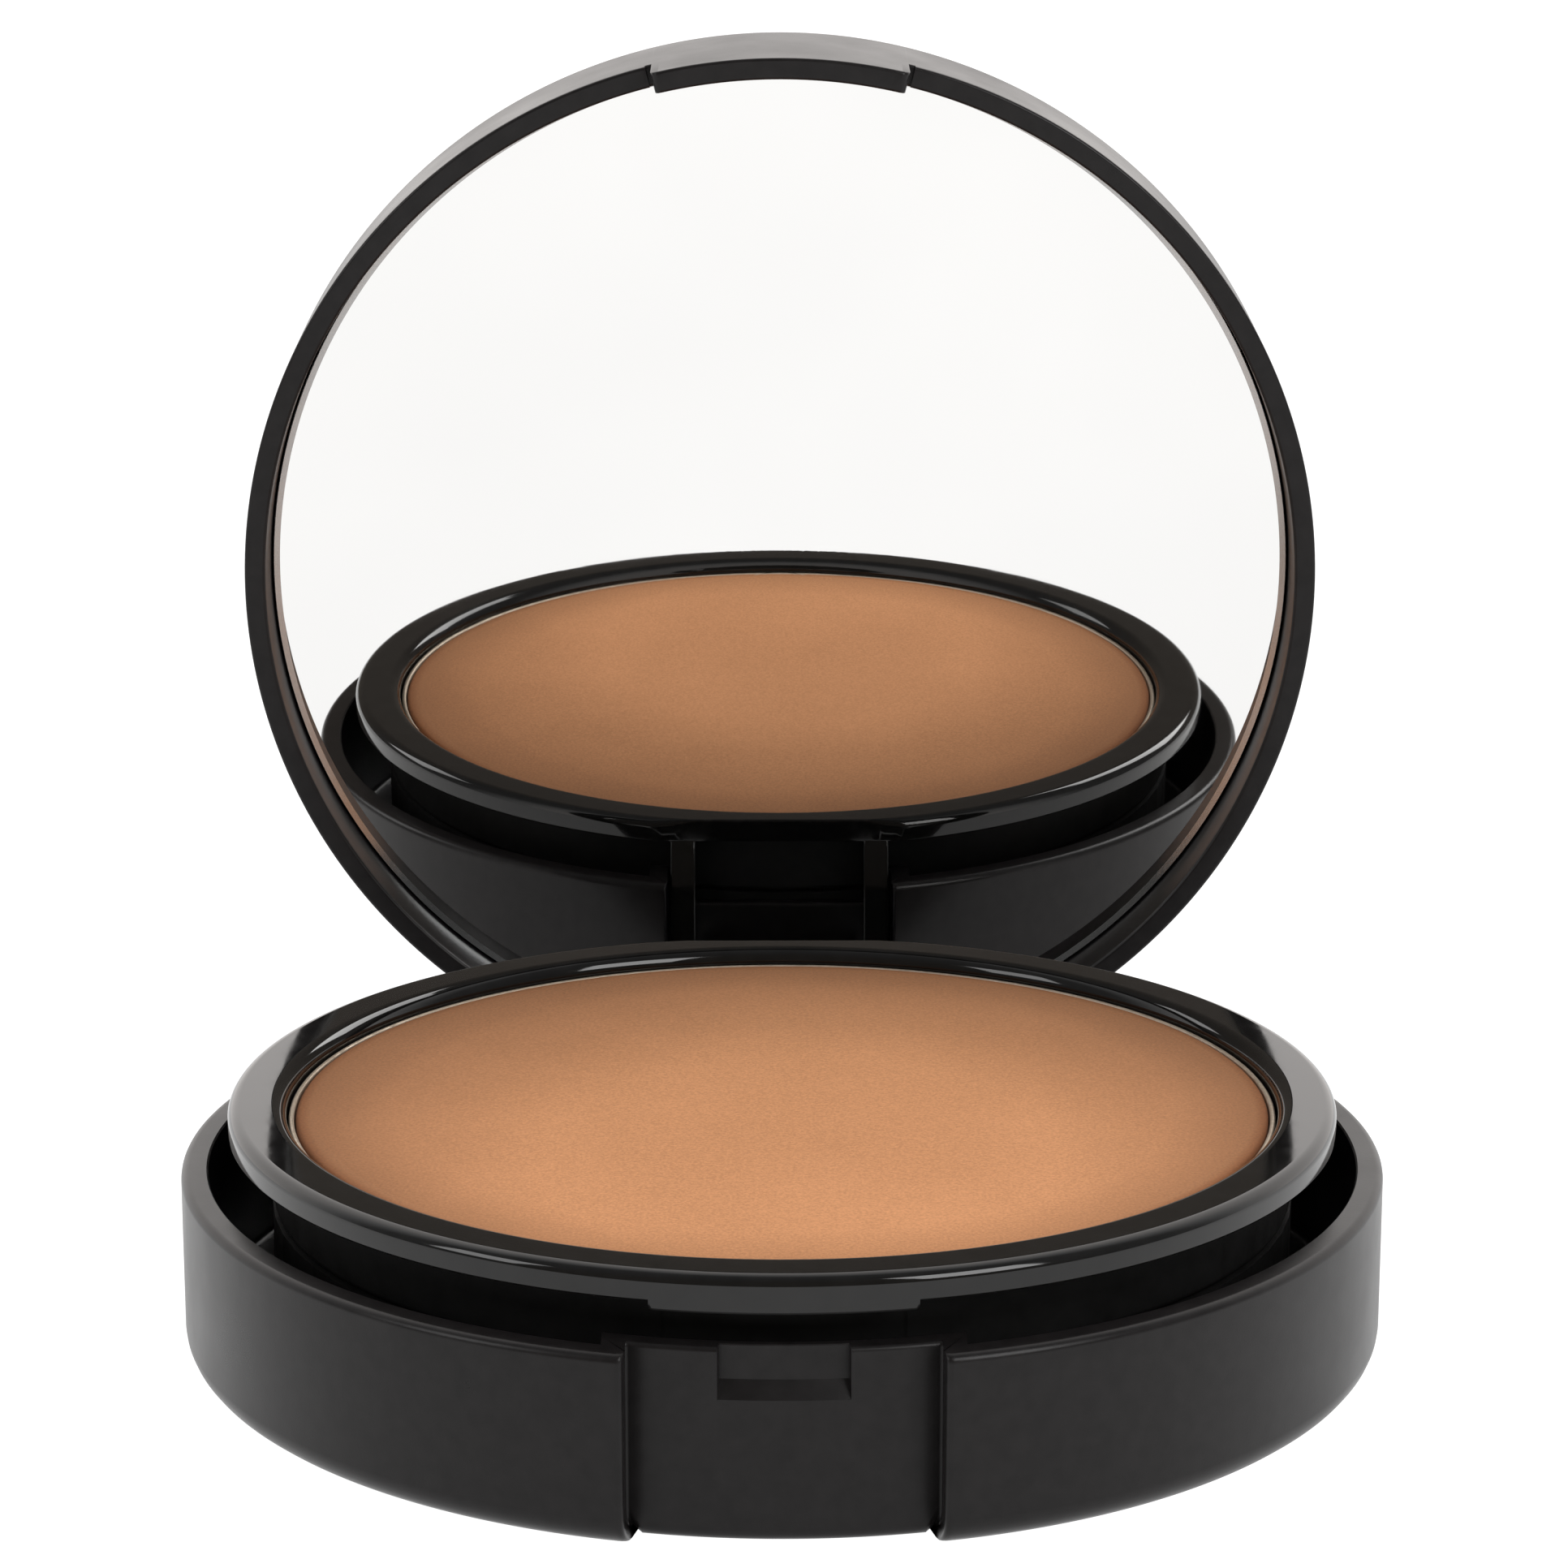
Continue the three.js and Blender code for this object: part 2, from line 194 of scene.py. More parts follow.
def set_world():
    """White all round for the eye, and darker on the front side for reflections."""
    world = bpy.data.worlds.new("studio")
    bpy.context.scene.world = world
    world.use_nodes = True
    tree = world.node_tree
    tree.nodes.clear()
    out = tree.nodes.new("ShaderNodeOutputWorld")
    coords = tree.nodes.new("ShaderNodeTexCoord")
    split = tree.nodes.new("ShaderNodeSeparateXYZ")
    tree.links.new(coords.outputs["Generated"], split.inputs[0])
    ramp = tree.nodes.new("ShaderNodeValToRGB")
    place = tree.nodes.new("ShaderNodeMapRange")
    place.inputs["From Min"].default_value = -1
    place.inputs["From Max"].default_value = 1
    tree.links.new(split.outputs["Y"], place.inputs["Value"])
    tree.links.new(place.outputs[0], ramp.inputs[0])
    stops = ramp.color_ramp.elements
    stops[0].position, stops[0].color = 0.1, (0.105, 0.092, 0.08, 1)
    stops[1].position, stops[1].color = 0.75, (1.0, 0.96, 0.935, 1)
    for position, level in ((0.3, 0.13), (0.5, 0.18), (0.62, 0.62)):
        middle = stops.new(position)
        middle.color = (level, level, level, 1)
    seen = tree.nodes.new("ShaderNodeBackground")
    seen.inputs["Color"].default_value = (1, 1, 1, 1)
    seen.inputs["Strength"].default_value = 1.05
    lit = tree.nodes.new("ShaderNodeBackground")
    lit.inputs["Strength"].default_value = 1.65
    tree.links.new(ramp.outputs["Color"], lit.inputs["Color"])
    path = tree.nodes.new("ShaderNodeLightPath")
    mix = tree.nodes.new("ShaderNodeMixShader")
    tree.links.new(path.outputs["Is Camera Ray"], mix.inputs[0])
    tree.links.new(lit.outputs[0], mix.inputs[1])
    tree.links.new(seen.outputs[0], mix.inputs[2])
    tree.links.new(mix.outputs[0], out.inputs["Surface"])


# Materials

def material(name):
    made = bpy.data.materials.new(name)
    made.use_nodes = True
    tree = made.node_tree
    shader = tree.nodes["Principled BSDF"]
    return made, tree, shader


def noise(tree, scale, detail=3.0, rough=0.5, distortion=0.0):
    """Noise in object space; scale is in lumps per metre."""
    coords = tree.nodes.new("ShaderNodeTexCoord")
    made = tree.nodes.new("ShaderNodeTexNoise")
    made.inputs["Scale"].default_value = scale
    made.inputs["Detail"].default_value = detail
    made.inputs["Roughness"].default_value = rough
    made.inputs["Distortion"].default_value = distortion
    tree.links.new(coords.outputs["Object"], made.inputs["Vector"])
    return made.outputs["Fac"]


def ramp(tree, source, low, high, at=(0.3, 0.7)):
    made = tree.nodes.new("ShaderNodeValToRGB")
    stops = made.color_ramp.elements
    stops[0].position, stops[0].color = at[0], (*low, 1)
    stops[1].position, stops[1].color = at[1], (*high, 1)
    tree.links.new(source, made.inputs[0])
    return made.outputs["Color"]


def spread(tree, source, low, high, start=0.3, end=0.7):
    made = tree.nodes.new("ShaderNodeMapRange")
    made.inputs["From Min"].default_value = start
    made.inputs["From Max"].default_value = end
    made.inputs["To Min"].default_value = low
    made.inputs["To Max"].default_value = high
    tree.links.new(source, made.inputs["Value"])
    return made.outputs[0]


def bump(tree, source, depth_mm, strength=1.0, under=None):
    made = tree.nodes.new("ShaderNodeBump")
    made.inputs["Distance"].default_value = depth_mm * MM
    made.inputs["Strength"].default_value = strength
    tree.links.new(source, made.inputs["Height"])
    if under is not None:
        tree.links.new(under, made.inputs["Normal"])
    return made.outputs["Normal"]


def add(tree, first, second, share):
    made = tree.nodes.new("ShaderNodeMath")
    made.operation = "MULTIPLY_ADD"
    tree.links.new(second, made.inputs[0])
    made.inputs[1].default_value = share
    tree.links.new(first, made.inputs[2])
    return made.outputs[0]


def satin_case():
    """Moulded black plastic with a fine spark-eroded skin and faint handling marks."""
    made, tree, shader = material("satin_case_plastic")
    colour = ramp(tree, noise(tree, 900), (0.0064, 0.0056, 0.0057), (0.0100, 0.0089, 0.0090))
    tree.links.new(colour, shader.inputs["Base Color"])
    smudges = noise(tree, 90, 4, 0.6)
    grain = noise(tree, 14000, 2)
    rough = spread(tree, add(tree, smudges, grain, 0.15), 0.27, 0.37, 0.35, 0.8)
    tree.links.new(rough, shader.inputs["Roughness"])
    shader.inputs["Specular IOR Level"].default_value = 0.2
    skin = bump(tree, noise(tree, 9000, 2, 0.6), 0.006, 0.6)
    tree.links.new(bump(tree, noise(tree, 250, 2), 0.02, 0.25, skin), shader.inputs["Normal"])
    return made


def gloss_insert():
    """Polished black plastic, a little wavy from the mould, with fine dust dulling."""
    made, tree, shader = material("gloss_insert_plastic")
    colour = ramp(tree, noise(tree, 700), (0.0035, 0.0034, 0.0033), (0.006, 0.0058, 0.0056))
    tree.links.new(colour, shader.inputs["Base Color"])
    rough = spread(tree, noise(tree, 400, 5, 0.65), 0.05, 0.11, 0.4, 0.75)
    tree.links.new(rough, shader.inputs["Roughness"])
    shader.inputs["Specular IOR Level"].default_value = 0.38
    tree.links.new(bump(tree, noise(tree, 160, 2), 0.02, 0.25), shader.inputs["Normal"])
    return made


def dull_insert():
    """Black plastic as it leaves an unpolished mould."""
    made, tree, shader = material("dull_insert_plastic")
    colour = ramp(tree, noise(tree, 900), (0.0035, 0.0034, 0.0033), (0.006, 0.0058, 0.0056))
    tree.links.new(colour, shader.inputs["Base Color"])
    tree.links.new(spread(tree, noise(tree, 500, 4), 0.55, 0.7), shader.inputs["Roughness"])
    shader.inputs["Specular IOR Level"].default_value = 0.2
    tree.links.new(bump(tree, noise(tree, 6000, 2), 0.01, 0.5), shader.inputs["Normal"])
    return made


def pan_metal():
    """Thin pressed aluminium with a fine mottle, dull all over."""
    made, tree, shader = material("pan_sheet")
    colour = ramp(tree, noise(tree, 2500, 4), (0.50, 0.42, 0.33), (0.62, 0.53, 0.43))
    tree.links.new(colour, shader.inputs["Base Color"])
    shader.inputs["Metallic"].default_value = 1.0
    tree.links.new(spread(tree, noise(tree, 900, 3), 0.50, 0.64), shader.inputs["Roughness"])
    tree.links.new(bump(tree, noise(tree, 2500, 2), 0.003, 0.3), shader.inputs["Normal"])
    return made


def distance_from(tree, point, stretch=(1, 1, 0)):
    """Distance in metres from a point of the part, each axis first stretched by a factor."""
    coords = tree.nodes.new("ShaderNodeTexCoord")
    away = tree.nodes.new("ShaderNodeVectorMath")
    away.operation = "SUBTRACT"
    away.inputs[1].default_value = point
    tree.links.new(coords.outputs["Object"], away.inputs[0])
    scaled = tree.nodes.new("ShaderNodeVectorMath")
    scaled.operation = "MULTIPLY"
    scaled.inputs[1].default_value = stretch
    tree.links.new(away.outputs["Vector"], scaled.inputs[0])
    length = tree.nodes.new("ShaderNodeVectorMath")
    length.operation = "LENGTH"
    tree.links.new(scaled.outputs["Vector"], length.inputs[0])
    return length.outputs["Value"]


def toned(tree, colour, tone, amount):
    """The colour multiplied by a tone where the amount is one."""
    made = tree.nodes.new("ShaderNodeMix")
    made.data_type = "RGBA"
    made.blend_type = "MULTIPLY"
    tree.links.new(amount, made.inputs["Factor"])
    tree.links.new(colour, made.inputs["A"])
    made.inputs["B"].default_value = (*tone, 1)
    return made.outputs["Result"]


def powder_cake():
    """Pressed powder: tan and matt with a fine grain, with painted shade towards its back and sides and
    at its rim.
    """
    made, tree, shader = material("pressed_powder_cake")
    clouds = noise(tree, 60, 3, 0.55)
    grain = noise(tree, 5200, 2, 0.7)
    mixed = add(tree, grain, clouds, 0.35)
    colour = ramp(tree, mixed, (0.407, 0.184, 0.079), (0.603, 0.280, 0.127), (0.45, 0.90))
    # Painted shade: darker away from a point in front of the cake's middle, most at its back and sides,
    # standing in for the light's falloff.
    painted_shade = spread(tree, distance_from(tree, (0.0012, -0.010, 0), (1.25, 1, 0)), 0.0, 1.0, 0.019, 0.036)
    colour = toned(tree, colour, (0.64, 0.62, 0.60), painted_shade)
    # Painted shade: the outer band of the cake is darkened towards its rim.
    edge = spread(tree, distance_from(tree, (0, 0, 0)), 0.0, 1.0, 0.0235, 0.0285)
    colour = toned(tree, colour, (0.76, 0.75, 0.74), edge)
    # Painted shade: a darker brown line on the cake's rounded edge, where it turns away into shadow.
    rim = spread(tree, distance_from(tree, (0, 0, 0)), 0.0, 1.0, 0.0284, 0.0292)
    colour = toned(tree, colour, (0.70, 0.55, 0.42), rim)
    tree.links.new(colour, shader.inputs["Base Color"])
    tree.links.new(spread(tree, grain, 0.82, 0.97), shader.inputs["Roughness"])
    shader.inputs["Specular IOR Level"].default_value = 0.2
    shader.inputs["Sheen Weight"].default_value = 0.03
    shader.inputs["Sheen Roughness"].default_value = 0.6
    shader.inputs["Sheen Tint"].default_value = (1.0, 0.85, 0.72, 1)
    fine = bump(tree, grain, 0.03, 0.5)
    tree.links.new(bump(tree, noise(tree, 300, 3), 0.05, 0.25, fine), shader.inputs["Normal"])
    return made


def mirror_silver():
    """Silvered plate glass, almost without haze."""
    made, tree, shader = material("mirror_silvered_glass")
    colour = ramp(tree, noise(tree, 40, 2), (0.742, 0.739, 0.732), (0.766, 0.762, 0.754))
    tree.links.new(colour, shader.inputs["Base Color"])
    shader.inputs["Metallic"].default_value = 1.0
    tree.links.new(spread(tree, noise(tree, 60, 5), 0.004, 0.022), shader.inputs["Roughness"])
    return made


def ground_glass_edge():
    """The silvered glass where its edge is ground, so that it only gives soft reflections."""
    made, tree, shader = material("mirror_ground_edge")
    colour = ramp(tree, noise(tree, 60, 3), (0.42, 0.43, 0.43), (0.52, 0.53, 0.53))
    tree.links.new(colour, shader.inputs["Base Color"])
    shader.inputs["Metallic"].default_value = 0.9
    tree.links.new(spread(tree, noise(tree, 80, 3), 0.14, 0.26), shader.inputs["Roughness"])
    return made


def latex_foam():
    made, tree, shader = material("latex_foam")
    cells = tree.nodes.new("ShaderNodeTexVoronoi")
    coords = tree.nodes.new("ShaderNodeTexCoord")
    cells.inputs["Scale"].default_value = 3200
    tree.links.new(coords.outputs["Object"], cells.inputs["Vector"])
    # Painted shade: the colour is darker in the pits of the pores, where the bump sinks them.
    colour = ramp(tree, cells.outputs["Distance"], (0.60, 0.50, 0.40), (0.82, 0.74, 0.64), (0.0, 0.5))
    tree.links.new(colour, shader.inputs["Base Color"])
    tree.links.new(spread(tree, noise(tree, 800), 0.85, 1.0), shader.inputs["Roughness"])
    pores = bump(tree, cells.outputs["Distance"], 0.12, 0.7)
    tree.links.new(bump(tree, noise(tree, 400, 3), 0.15, 0.4, pores), shader.inputs["Normal"])
    return made


def label_paper():
    made, tree, shader = material("label_paper")
    fibres = noise(tree, 2600, 5, 0.7, 0.6)
    colour = ramp(tree, fibres, (0.10, 0.10, 0.10), (0.15, 0.149, 0.147))
    tree.links.new(colour, shader.inputs["Base Color"])
    tree.links.new(spread(tree, fibres, 0.55, 0.75), shader.inputs["Roughness"])
    tree.links.new(bump(tree, fibres, 0.01, 0.6), shader.inputs["Normal"])
    return made


def drawn_steel():
    made, tree, shader = material("drawn_steel_wire")
    colour = ramp(tree, noise(tree, 4000, 4), (0.42, 0.42, 0.43), (0.62, 0.62, 0.63))
    tree.links.new(colour, shader.inputs["Base Color"])
    shader.inputs["Metallic"].default_value = 1.0
    tree.links.new(spread(tree, noise(tree, 5000, 3), 0.22, 0.4), shader.inputs["Roughness"])
    tree.links.new(bump(tree, noise(tree, 9000, 2), 0.004, 0.5), shader.inputs["Normal"])
    return made


def soft_adhesive():
    made, tree, shader = material("soft_adhesive")
    colour = ramp(tree, noise(tree, 900, 4), (0.62, 0.58, 0.52), (0.74, 0.70, 0.63))
    tree.links.new(colour, shader.inputs["Base Color"])
    tree.links.new(spread(tree, noise(tree, 1500, 3), 0.6, 0.85), shader.inputs["Roughness"])
    tree.links.new(bump(tree, noise(tree, 1800, 3), 0.04, 0.6), shader.inputs["Normal"])
    return made


def table_top():
    """A white table that glows a little in view and in reflections, but not in diffuse light."""
    made, tree, shader = material("white_table")
    colour = ramp(tree, noise(tree, 12, 2), (0.90, 0.90, 0.895), (0.92, 0.92, 0.915))
    tree.links.new(colour, shader.inputs["Base Color"])
    shader.inputs["Roughness"].default_value = 0.8
    shader.inputs["Specular IOR Level"].default_value = 0.2
    glow = tree.nodes.new("ShaderNodeEmission")
    glow.inputs["Strength"].default_value = 1.27
    path = tree.nodes.new("ShaderNodeLightPath")
    seen = tree.nodes.new("ShaderNodeMath")
    seen.operation = "MULTIPLY_ADD"
    seen.inputs[1].default_value = -0.82
    seen.inputs[2].default_value = 0.82
    tree.links.new(path.outputs["Is Diffuse Ray"], seen.inputs[0])
    mix = tree.nodes.new("ShaderNodeMixShader")
    tree.links.new(seen.outputs[0], mix.inputs[0])
    tree.links.new(shader.outputs[0], mix.inputs[1])
    tree.links.new(glow.outputs[0], mix.inputs[2])
    tree.links.new(mix.outputs[0], tree.nodes["Material Output"].inputs["Surface"])
    return made


# Outlines and profiles

def arc(cx, cy, rx, ry, start, end, steps):
    """Points of an arc between two angles in degrees."""
    angles = [math.radians(start + (end - start) * i / steps) for i in range(steps + 1)]
    return [(cx + rx * math.cos(a), cy + ry * math.sin(a)) for a in angles]


def line(a, b, steps):
    """Points from a up to but without b."""
    return [
        (a[0] + (b[0] - a[0]) * i / steps, a[1] + (b[1] - a[1]) * i / steps) for i in range(steps)
    ]


def front_point(radius, degrees):
    """A point at that angle from the front, towards +X."""
    a = math.radians(degrees)
    return (radius * math.sin(a), -radius * math.cos(a))


def front_angle(radius, x):
    return math.degrees(math.asin(x / radius))


def sweep(radius, start, end, steps):
    """Points round the case from one front angle up to but without another."""
    return [front_point(radius, start + (end - start) * i / steps) for i in range(steps)]


def corner(before, at, after, size, steps=4):
    """A rounded corner at a point, as a quadratic curve from one side to the other."""
    at = Vector(at)
    a = at + (Vector(before) - at).normalized() * size
    b = at + (Vector(after) - at).normalized() * size
    points = []
    for i in range(steps + 1):
        t = i / steps
        p = a * (1 - t) ** 2 + at * 2 * t * (1 - t) + b * t**2
        points.append((p.x, p.y))
    return points


def mirrored(half):
    """Full ring of columns from a half that runs from the front to the back on the +X side."""
    other = [[(-x, y, z) for x, y, z in column] for column in half[1:-1]]
    return half + other[::-1]


# Meshes

def finish_mesh(name, bm, look, body, turn=None, sharp=32.0):
    bmesh.ops.remove_doubles(bm, verts=bm.verts, dist=2e-8)
    bmesh.ops.recalc_face_normals(bm, faces=bm.faces)
    data = bpy.data.meshes.new(name)
    bm.to_mesh(data)
    bm.free()
    if turn is not None:
        data.transform(turn)
    for face in data.polygons:
        face.use_smooth = True
    data.set_sharp_from_angle(angle=math.radians(sharp))
    data.materials.append(look)
    made = bpy.data.objects.new(name, data)
    bpy.context.scene.collection.objects.link(made)
    even = made.modifiers.new("even_normals", "WEIGHTED_NORMAL")
    even.keep_sharp = True
    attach(made, body)
    return made


def loft(columns, looped=False, closed_profile=False):
    """Skins a row of columns, or a ring if looped. A ring of open profiles gets a fan at each end."""
    bm = bmesh.new()
    rows = len(columns[0])
    grid = [[bm.verts.new(Vector(p) * MM) for p in column] for column in columns]
    count = len(columns)
    for i in range(count if looped else count - 1):
        a, b = grid[i], grid[(i + 1) % count]
        for j in range(rows if closed_profile else rows - 1):
            k = (j + 1) % rows
            bm.faces.new((a[j], b[j], b[k], a[k]))
    if looped and not closed_profile:
        for j in (0, rows - 1):
            middle = bm.verts.new((0, 0, columns[0][j][2] * MM))
            for i in range(count):
                bm.faces.new((grid[i][j], grid[(i + 1) % count][j], middle))
    return bm, grid


def lathe(profile, steps=288):
    """Columns of a plain turned shape from (radius, height) points."""
    columns = []
    for i in range(steps):
        a = 2 * math.pi * i / steps
        columns.append([(r * math.cos(a), r * math.sin(a), z) for r, z in profile])
    return columns


def turned(name, profile, look, body, steps=288, sharp=32.0):
    """A turned solid; the profile's first and last points lie off the axis and are capped."""
    bm, _ = loft(lathe(profile, steps), looped=True)
    return finish_mesh(name, bm, look, body, sharp=sharp)


def inward(point, distance):
    """The point moved towards the axis by a distance."""
    x, y = point
    r = math.hypot(x, y)
    return (x * (r - distance) / r, y * (r - distance) / r)


# Base shell

def base_outlines():
    """Outer and inner outline of the wall on the +X side, point for point, with its heights."""
    marks = []
    outer, inner = [], []
    recess_in = RECESS_R - RECESS_WALL
    wall_in = CASE_R - WALL

    def stretch(out_points, in_points, top, foot, notched=False):
        outer.extend(out_points)
        inner.extend(in_points)
        marks.extend([(top, foot, notched)] * len(out_points))

    # recess panel, up to the notch's side and on to the panel's side
    a, b = front_angle(RECESS_R, NOTCH_HALF), front_angle(recess_in, NOTCH_HALF)
    stretch(
        sweep(RECESS_R, 0, a, 6) + [front_point(RECESS_R, a - TINY_TURN)],
        sweep(recess_in, 0, b, 6) + [front_point(recess_in, b - TINY_TURN)],
        BASE_H, RECESS_FOOT, notched=True)
    a_end = front_angle(RECESS_R, RECESS_HALF - CORNER)
    b_end = front_angle(recess_in, RECESS_HALF)
    stretch(sweep(RECESS_R, a, a_end, 8), sweep(recess_in, b, b_end, 8), BASE_H, RECESS_FOOT)

    # the panel's side, standing out to the case wall
    low = (RECESS_HALF, -math.sqrt(RECESS_R**2 - RECESS_HALF**2))
    high = (RECESS_HALF, -math.sqrt(CASE_R**2 - RECESS_HALF**2))
    beside = front_point(CASE_R, front_angle(CASE_R, RECESS_HALF) + 2)
    panel = front_point(RECESS_R, a_end)
    out_side = corner(panel, low, high, CORNER) + line(
        (RECESS_HALF, low[1] - CORNER), (RECESS_HALF, high[1] + PANEL_CORNER), 3)[1:]
    out_side += corner(low, high, beside, PANEL_CORNER, 7)
    jog_x = RECESS_HALF + RECESS_WALL
    jog_low = (jog_x, -math.sqrt(recess_in**2 - jog_x**2))
    jog_high = (jog_x, -math.sqrt(wall_in**2 - jog_x**2))
    steps = len(out_side)
    in_side = sweep(recess_in, b_end, front_angle(recess_in, jog_x), 5)
    in_side += line(jog_low, jog_high, steps - 6)
    in_side += [jog_high]
    stretch(out_side, in_side, BASE_H, FOOT_ROUND)

    # round the case to the hinge bay
    start_out = front_angle(CASE_R, RECESS_HALF) + math.degrees(PANEL_CORNER * 1.15 / CASE_R)
    start_in = front_angle(wall_in, jog_x)
    end_out = 180 - front_angle(CASE_R, BAY_HALF) - math.degrees(CORNER * 1.2 / CASE_R)
    end_in = 180 - front_angle(wall_in, BAY_HALF + BAY_CHEEK)
    steps = round((end_out - start_out) / FINE_STEP)
    stretch(
        sweep(CASE_R, start_out, end_out, steps)[1:],
        sweep(wall_in, start_in, end_in, steps)[1:], BASE_H, FOOT_ROUND)

    # the bay's cheek and its front wall
    rim = (BAY_HALF, math.sqrt(CASE_R**2 - BAY_HALF**2))
    before = front_point(CASE_R, end_out)
    root = (BAY_HALF, BAY_Y)
    out_side = corner(before, rim, root, CORNER, 5)
    out_side += line((BAY_HALF, rim[1] - CORNER), (BAY_HALF, BAY_Y + CORNER), 3)[1:]
    out_side += corner(rim, root, (0, BAY_Y), CORNER, 4)
    cheek_x = BAY_HALF + BAY_CHEEK
    cheek = (cheek_x, math.sqrt(wall_in**2 - cheek_x**2))
    inside = BAY_Y - BAY_WALL
    steps = len(out_side)
    in_side = line(cheek, (cheek_x, inside), steps - 6)
    in_side += line((cheek_x, inside), (BAY_HALF - CORNER, inside), 6)
    stretch(out_side, in_side, BASE_H, CORNER)
    x0 = BAY_HALF - CORNER - 0.01
    stretch(
        line((x0, BAY_Y), (0, BAY_Y), 8) + [(0, BAY_Y)],
        line((x0, inside), (0, inside), 8) + [(0, inside)], BAY_WALL_TOP, CORNER)
    return outer, inner, marks


def base_column(out, inn, top, foot, notched):
    """One column of the base wall, from the label recess round the outside and in to the floor."""
    recess_r = LABEL_HIGH.x + LABEL_GAP
    r = math.hypot(*out)
    ux, uy = out[0] / r, out[1] / r
    column = [(recess_r * ux, recess_r * uy, LABEL_RECESS), (recess_r * ux, recess_r * uy, 0)]
    if foot == CORNER and r > FOOT_START:
        # a wall that cuts through the rounded foot
        foot, end = FOOT_ROUND, -math.degrees(math.acos(min(1, (r - FOOT_START) / FOOT_ROUND)))
    else:
        end = 0
    outermost = foot * math.cos(math.radians(end))
    for across, z in arc(0, foot, foot, foot, -90, end, 6):
        x, y = inward(out, outermost - across)
        column.append((x, y, z))
    reach = (top - RIM_ROUND - foot) / (BASE_H - RIM_ROUND - foot)
    column.append((out[0], out[1], foot + (NOTCH_LOW - foot) * reach))
    rim = RECESS_RIM_ROUND if r < CASE_R - RIM_ROUND else RIM_ROUND
    if notched:
        out, rim = inward(out, NOTCH_DEPTH), NOTCH_RIM_ROUND
    column.append((out[0], out[1], foot + (NOTCH_LOW + NOTCH_RAMP - foot) * reach))
    for across, z in arc(0, top - rim, rim, rim, 0, 90, 5):
        x, y = inward(out, rim - across)
        column.append((x, y, z))
    edge = 0.1
    x, y = inward(inn, -edge)
    column.append((x, y, top))
    column.append((inn[0], inn[1], top - edge))
    for across, z in arc(0, FLOOR + INNER_FILLET, INNER_FILLET, INNER_FILLET, 0, -90, 3):
        x, y = inward(inn, INNER_FILLET - across)
        column.append((x, y, z))
    return column


def base_shell(look):
    outer, inner, marks = base_outlines()
    half = [base_column(o, i, *m) for o, i, m in zip(outer, inner, marks)]
    bm, _ = loft(mirrored(half), looped=True)
    made = finish_mesh("base_case", bm, look, "base")
    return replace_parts(made, "base_shell")


# Tray

def flange_low(x):
    """Underside of the flange at a distance x from the middle, deeper along the finger lip."""
    if x > LIP_HALF:
        return FLANGE_LOW
    over = max(0.0, x - (LIP_HALF - LIP_CORNER))
    return LIP_LOW + LIP_CORNER - math.sqrt(LIP_CORNER**2 - over**2)


def tray_columns():
    lip = front_angle(TRAY_R, LIP_HALF)
    corner_turn = math.degrees(LIP_CORNER / TRAY_R)
    back_corner = 180 - front_angle(TRAY_R, math.sqrt(TRAY_R**2 - TRAY_BACK**2))
    angles = [(lip - corner_turn) * i / 16 for i in range(16)]
    angles += [lip - corner_turn + corner_turn * i / 5 for i in range(5)] + [lip - TINY_TURN]
    angles += [lip + TINY_TURN + (back_corner - lip - TINY_TURN) * i / 140 for i in range(141)]
    angles += [back_corner + (180 - back_corner) * i / 20 for i in range(1, 21)]
    half = []
    edge = 0.16
    foot, fillet = CUP_FOOT_ROUND, CUP_FILLET
    floor_top = CUP_LOW + CUP_FLOOR
    for degrees in angles:
        limit = TRAY_R
        if degrees > 90:
            limit = min(TRAY_R, TRAY_BACK / math.cos(math.radians(180 - degrees)))
        flat = min(TRAY_FLAT_OUT, limit - edge)
        wide = limit - flat
        tall = TRAY_TOP - SHOULDER_Z
        if wide < tall:
            share = max(0.0, wide - edge) / (TRAY_R - TRAY_FLAT_OUT - edge)
            tall = wide + (tall - wide) * share**0.5
        low = flange_low(TRAY_R * math.sin(math.radians(degrees)) if degrees < 90 else TRAY_R)
        profile = [
            (PUSH_HOLE, CUP_LOW),
            *arc(CUP_OUT - foot, CUP_LOW + foot, foot, foot, -90, 0, 3),
            (CUP_OUT, FLANGE_LOW - fillet),
            *arc(CUP_OUT + fillet, FLANGE_LOW - fillet, fillet, fillet, 180, 90, 3)[1:],
            (min(LIP_IN, limit - 0.5), FLANGE_LOW), (min(LIP_IN + 1, limit - 0.4), low),
            *arc(limit - FLANGE_EDGE, low + FLANGE_EDGE, FLANGE_EDGE, FLANGE_EDGE, -90, 0, 3),
            *arc(flat, TRAY_TOP - tall, wide, tall, 0, 90, 10),
            *arc(TRAY_FLAT_IN, TRAY_TOP - STEP_DEPTH, TRAY_FLAT_IN - CUP_IN, STEP_DEPTH, 90, 180, 10),
            (CUP_IN, floor_top + 0.2),
            (CUP_IN - 0.2, floor_top),
            (PUSH_HOLE, floor_top),
        ]
        half.append([(*front_point(r, degrees), z) for r, z in profile])
    return mirrored(half)


def powder_tray(look, unpolished):
    """The ring is polished; the outside of the cup below it keeps the mould's dull skin."""
    bm, _ = loft(tray_columns(), looped=True, closed_profile=True)
    made = finish_mesh("tray_ring", bm, look, "base", sharp=38)
    made.data.materials.append(unpolished)
    for face in made.data.polygons:
        x, y, z = face.center / MM
        if z < FLANGE_LOW - 0.05 and math.hypot(x, y) > CUP_IN + 0.3:
            face.material_index = 1
    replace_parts(made, "powder_tray")
    return made


